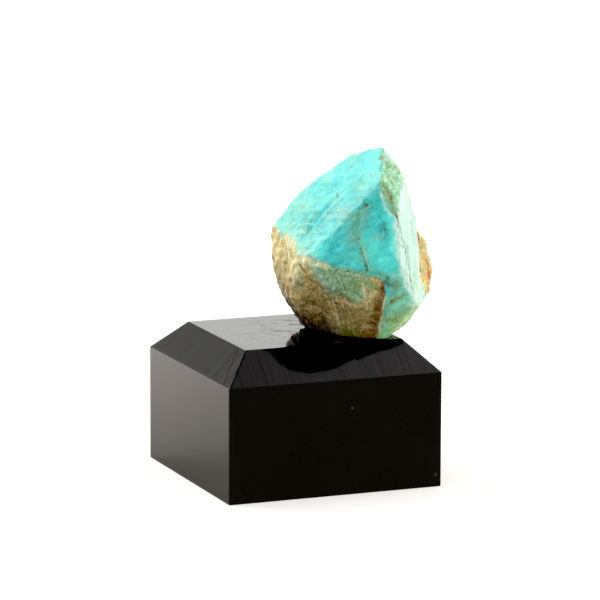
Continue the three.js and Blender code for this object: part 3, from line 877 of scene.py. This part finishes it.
def make_block():
    """The block: a rounded square carried up a profile that leans in along the sloping band.

    Profile points are (inset, height), and BEVEL_IN shares the inset out between X and Y. The square
    has an arc at each corner, and a land on either side of it.
    """
    slope = BEVEL_IN.mean()
    low, wall, shoulder = np.array([[TURN_IN, 0], [0, 0], [0, WALL_HEIGHT]])
    rim, inner = np.array([[slope, BLOCK_HEIGHT], [slope + TURN_IN, BLOCK_HEIGHT]])
    bends = [(low, wall, shoulder), (wall, shoulder, rim), (shoulder, rim, inner)]
    inset, height = np.vstack([rounded(*bend) for bend in bends]).T

    swing = np.linspace(0, np.pi / 2, ARRIS_STEPS)
    arc = ARRIS * np.stack([np.sin(swing), -np.cos(swing)], axis=1) + (-ARRIS, ARRIS)
    arc = np.vstack([[-ARRIS - LAND, 0], arc, [0, ARRIS + LAND]])
    quarter_turn = np.array([[0, 1], [-1, 0]])
    signs = np.repeat([(1, -1), (1, 1), (-1, 1), (-1, -1)], len(arc), axis=0)
    offsets = np.vstack([arc @ np.linalg.matrix_power(quarter_turn, turn) for turn in range(4)])
    reach = BLOCK_SIDE / 2 - np.outer(inset / slope, BEVEL_IN)
    ring = signs * reach[:, None, :] + offsets
    points = np.dstack([ring, np.broadcast_to(height[:, None], ring.shape[:2])]).reshape(-1, 3)

    rows, around = len(inset), len(offsets)
    row, col = [g.ravel() for g in np.meshgrid(np.arange(rows - 1), np.arange(around), indexing="ij")]
    here, beside = row * around + col, row * around + (col + 1) % around
    quads = np.stack([here, beside, beside + around, here + around], axis=1)
    bottom = np.arange(around)[::-1]
    top = np.arange(around) + (rows - 1) * around
    piece = mesh_piece("acrylic_block", points, quads, caps=(bottom, top))
    piece.data.shade_smooth()
    add_number(piece, "corner", np.tile(np.r_[0, np.ones(ARRIS_STEPS), 0], 4 * rows))
    return piece


# How far the band's corners swing from the diagonal for each millimetre up.
MITRE_SKEW = (BEVEL_IN[1] - BEVEL_IN[0]) / (BLOCK_HEIGHT - WALL_HEIGHT)
# Places between which each finish comes in, in millimetres.
TOP_FADE, BAND_FADE = (-0.3, -0.1), (0, 0.3)  # above the top, and above the walls
CHATTER = (-4.5, -8.0)  # coarse saw marks on the side bands, along Y towards the front
GROOVE, GROOVE_PLACE = (0.45, 0.1), 2.3  # a saw groove, from its middle, and its own gap to the mitre
HANDLED = (22, 14)  # marks of handling, from the stone's middle
DUST_SPACING, DUST_GRAIN = 4.0, (0.07, 0.045)  # the second in spacings, from a grain's middle
SAW_RUN = 0.02  # how fast the saw marks change up the band, against along it
WIPING_WAY = (0.93, -0.37, 0)  # the way that smudges run
POLISH, SHINE, SIDE_SHINE = 0.04, 0.45, 0.01  # roughness, specular level, and what the sides add to it
DULLED, DARKENED = 0.38, 0.7  # what scuffs take off that level, and the share that dark lines and dust do


def acrylic_material():
    """Polished black acrylic: saw marks cross the sloping band, and the top is handled and dusty."""
    n = Nodes("black_acrylic")
    here = n.add("ShaderNodeTexCoord").outputs["Object"]
    across, back, height = [n.along(here, way / MM) for way in np.eye(3)]
    on_top = n.ramp(*np.add(BLOCK_HEIGHT, TOP_FADE), height)
    on_band = n.math("SUBTRACT", n.ramp(*np.add(WALL_HEIGHT, BAND_FADE), height), on_top)
    lead = n.math("SUBTRACT", n.math("ABSOLUTE", across), n.math("ABSOLUTE", back))
    from_mitre = n.math("MULTIPLY_ADD", n.math("SUBTRACT", height, WALL_HEIGHT), -MITRE_SKEW, lead)
    sideways = n.math("GREATER_THAN", from_mitre, 0.0)

    run = n.add("ShaderNodeMix", {0: sideways, 2: across, 3: back}, data_type="FLOAT").outputs[0]
    saw_run, saw_rise = n.math("MULTIPLY", run, MM), n.math("MULTIPLY", height, SAW_RUN * MM)
    saw = n.add("ShaderNodeCombineXYZ", {"X": saw_run, "Y": saw_rise}).outputs[0]
    chatter = n.math("MULTIPLY", sideways, n.ramp(*CHATTER, back))
    fine = n.math("SUBTRACT", n.noise(saw, 0.5, 3, 0.75), 0.5)
    coarse = n.math("SUBTRACT", n.ramp(0.35, 0.65, n.noise(saw, 1.5, 4, 0.75)), 0.5)
    cuts = n.math("MULTIPLY_ADD", n.math("MULTIPLY", coarse, chatter), 0.4, n.math("MULTIPLY", fine, 0.4))
    cuts = n.math("MULTIPLY", cuts, on_band)
    # painted shade: the band's mitres lose most of their shine, a dark line that stands in for what the
    # polished mitre reflects
    mitre = n.math("MULTIPLY", n.ramp(0.88, 1.0, n.mask("corner")), on_band)
    groove = n.ramp(*GROOVE, n.math("ABSOLUTE", n.math("SUBTRACT", from_mitre, GROOVE_PLACE)))
    groove = n.math("MULTIPLY", groove, n.math("MULTIPLY", chatter, on_band))
    dark_line = n.math("MAXIMUM", mitre, n.math("MULTIPLY", groove, 0.6))

    to_stone = n.add("ShaderNodeVectorMath", {0: here, 1: tuple(STONE_MIDDLE * MM)}, operation="DISTANCE")
    handled = n.math("MULTIPLY", n.ramp(*np.multiply(HANDLED, MM), to_stone.outputs["Value"]),
                     n.ramp(0.35, 0.55, n.noise(here, 4.0, 3)))
    smudges = n.ramp(0.48, 0.62, n.noise(n.drawn_out(here, WIPING_WAY, 1.5), 1.0, 5, 0.75))
    scuffs = n.math("MULTIPLY", smudges, n.math("MULTIPLY_ADD", handled, 0.8, 0.2))
    scuffs = n.math("MULTIPLY", scuffs, on_top)
    grit = n.add("ShaderNodeTexVoronoi", {"Vector": here, "Scale": 1 / (DUST_SPACING * MM)})
    dust = n.ramp(*DUST_GRAIN, grit.outputs["Distance"])

    shine = n.math("ADD", cuts, n.math("MULTIPLY_ADD", sideways, SIDE_SHINE, SHINE))
    shine = n.math("MULTIPLY_ADD", scuffs, -DULLED, shine)
    dark = n.math("MULTIPLY_ADD", n.math("MAXIMUM", dark_line, dust), -DARKENED, 1.0)
    shine = n.math("MULTIPLY", shine, dark)
    film = n.math("MULTIPLY", n.noise(here, 3.0, 3, 0.5), 0.12)
    bump_height = n.math("ADD", cuts, film)
    bump = n.add("ShaderNodeBump", {"Strength": 0.25, "Distance": 0.01 * MM, "Height": bump_height})
    tint = n.mix(n.ramp(0.4, 0.6, n.noise(here, 9.0, 2)), (1, 0.97, 0.96, 1), (0.99, 0.99, 0.97, 1))
    shader = n.add("ShaderNodeBsdfPrincipled", {
        "Base Color": n.mix(dust, srgb(9, 8, 7), srgb(74, 70, 62)),
        "Roughness": n.math("MULTIPLY_ADD", scuffs, 0.2, POLISH),
        "IOR": 1.49, "Normal": bump.outputs[0], "Specular IOR Level": shine,
        "Specular Tint": tint,
    })
    return n.finished(shader)


# ---- Studio: a white light tent with a paper floor ----
BACK = np.array([0.3735, 0.9276, 0.0])  # level way to the backdrop, close to the way the camera looks
BLACK_POINT = 0.03  # light that the camera's response cuts off the shadows
# The tent's glow: all round, overhead to the right, and behind by the height of a way (0 level, 1 up).
TENT_GLOW, OVERHEAD_GLOW = 1.05, 0.95
BACKDROP_GLOW = [(0.0, 1.68), (0.22, 1.72), (0.31, 1.15), (0.35, 0.85), (0.7, 0.9), (1.0, 1.0)]
BEHIND, RIGHTWARD, UPWARD = (0.1, 0.6), (0.3, 0.45), (0.6, 0.85)  # cosines between which they come in
CURVE_TOP = 2.0  # a curve holds values up to 1, so it holds glows as shares of this
TENT_TINT, BACKDROP_TINT = (0.8, 0.79, 0.82, 1), (0.8, 0.8, 0.775, 1)
TENT_SEEN = 1.03  # how bright the tent is to the camera
# The floor: how far it reaches, its glow and where along BACK that starts and is full, in metres.
FLOOR_REACH = 2.0
FLOOR_GLOW, FLOOR_GLOW_AT = 0.82, (-0.01, 0.085)
PAPER, PAPER_GLOW, FILL_TINT = (0.67, 0.63, 0.575, 1), (1, 0.9, 0.88, 1), (1, 0.99, 0.97, 1)
FILL = 0.91  # how bright the floor in front looks in the block
SEEN_LIFT = 0.45  # what the camera sees added to the floor, to read as white
# The black card, a painted reflection of the stone's dark underside: its corners seen from above, and its
# height, in millimetres.
CARD = [(19.2, -12), (19.2, -18.5), (21.2, -20.9), (23.2, -22.4), (26.4, -23.1), (30.2, -22.8),
        (33, -21.7), (41.8, -19.8), (41.8, -12)]
CARD_HEIGHT = 90.0
# Soft boxes: name, place and side in metres, and radiance.
SOFTBOXES = [
    ("left_softbox", (-0.32, 0.38, 0.53), 0.35, 8.0),
    ("right_softbox", (0.55, 0.0, 0.25), 0.3, 5.0),
]


def make_floor():
    """White paper: lit from behind further back, filled in front, and white to the camera."""
    corners = np.array([(-1, -1, 0), (1, -1, 0), (1, 1, 0), (-1, 1, 0)]) * FLOOR_REACH / MM
    floor = mesh_piece("floor", corners, np.array([[0, 1, 2, 3]]))
    n = Nodes("paper_floor")
    here = n.add("ShaderNodeTexCoord").outputs["Object"]
    path = n.add("ShaderNodeLightPath").outputs
    glow = n.ramp(*FLOOR_GLOW_AT, n.along(here, BACK), 0.0, FLOOR_GLOW)
    seen = path["Is Camera Ray"]
    paper = n.add("ShaderNodeBsdfPrincipled", {
        "Base Color": PAPER, "Roughness": 0.9, "Specular IOR Level": 0.1,
        "Emission Color": n.mix(seen, PAPER_GLOW, (1, 1, 1, 1)),
        "Emission Strength": n.math("MULTIPLY_ADD", seen, n.math("SUBTRACT", SEEN_LIFT, glow), glow),
    })
    fill = n.add("ShaderNodeEmission", {"Color": FILL_TINT, "Strength": FILL})
    in_front = n.math("LESS_THAN", n.along(here, (0, 1, 0)), -BLOCK_SIDE / 2 * MM)
    mirrored = n.math("MULTIPLY", in_front, path["Is Glossy Ray"])
    mixed = n.add("ShaderNodeMixShader", {0: mirrored, 1: paper.outputs[0], 2: fill.outputs[0]})
    floor.data.materials.append(n.finished(mixed))


def make_card():
    """A black card overhead that only mirrors see: a painted reflection that stands in for the stone's
    dark mirror image, it keeps the tent's glow off the band by the foot.
    """
    corners = np.array([(x, y, CARD_HEIGHT) for x, y in CARD])
    card = mesh_piece("painted_reflection_card", corners, np.zeros((0, 4), int), caps=(range(len(CARD)),))
    n = Nodes("painted_reflection_card")
    shader = n.add("ShaderNodeBsdfDiffuse", {"Color": (0.002, 0.002, 0.002, 1)})
    card.data.materials.append(n.finished(shader))
    card.visible_camera = card.visible_diffuse = card.visible_shadow = False


def make_tent():
    """The tent's glow by direction: brightest low behind, soft overhead to the right."""
    world = bpy.data.worlds.new("tent")
    bpy.context.scene.world = world
    n = Nodes("tent", world)
    way = n.add("ShaderNodeTexCoord").outputs["Generated"]
    height = n.along(way, (0, 0, 1))
    profile = n.add("ShaderNodeFloatCurve", {"Value": height})
    curve = profile.mapping.curves[0]
    for z, glow in BACKDROP_GLOW[1:-1]:
        curve.points.new(z, glow / CURVE_TOP)
    for end in (0, -1):
        z, glow = BACKDROP_GLOW[end]
        curve.points[end].location = (z, glow / CURVE_TOP)
    profile.mapping.update()
    backdrop = n.math("MULTIPLY", profile.outputs[0], CURVE_TOP)
    behind = n.ramp(*BEHIND, n.along(way, BACK))
    glow = n.math("MULTIPLY_ADD", n.math("SUBTRACT", backdrop, TENT_GLOW), behind, TENT_GLOW)
    rightward = n.ramp(*RIGHTWARD, n.along(way, (1, 0, 0)), 0.0, OVERHEAD_GLOW)
    glow = n.math("ADD", glow, n.math("MULTIPLY", rightward, n.ramp(*UPWARD, height)))
    tint = n.mix(behind, TENT_TINT, BACKDROP_TINT)
    light = n.add("ShaderNodeBackground", {"Color": tint, "Strength": glow})
    white = n.add("ShaderNodeBackground", {"Strength": TENT_SEEN})
    seen = n.add("ShaderNodeLightPath").outputs["Is Camera Ray"]
    mixed = n.add("ShaderNodeMixShader", {0: seen, 1: light.outputs[0], 2: white.outputs[0]})
    n.finished(mixed)


def make_softbox(name, at, size, radiance):
    """A square soft light, turned to the stone."""
    data = bpy.data.lights.new(name, "AREA")
    data.shape = "SQUARE"
    data.size = size
    data.energy = radiance * np.pi * size * size
    lamp = bpy.data.objects.new(name, data)
    lamp.location = at
    lamp.rotation_euler = (Vector(STONE_MIDDLE * MM) - Vector(at)).to_track_quat("-Z", "Y").to_euler()
    bpy.context.collection.objects.link(lamp)


def make_studio():
    """The floor, card, tent and soft boxes, and the camera's response to the shadows."""
    make_floor()
    make_card()
    make_tent()
    for softbox in SOFTBOXES:
        make_softbox(*softbox)
    view = bpy.context.scene.view_settings
    view.view_transform = "Standard"
    view.use_curve_mapping = True
    view.curve_mapping.black_level = (BLACK_POINT,) * 3
    view.curve_mapping.update()


# ---- Everything, camera first ----
make_camera()

stone = make_stone()
stone.data.materials.append(stone_material())
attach(stone, "root")
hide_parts("amazonite")

block = make_block()
block.data.materials.append(acrylic_material())
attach(block, "root")
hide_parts("display_block")

make_studio()
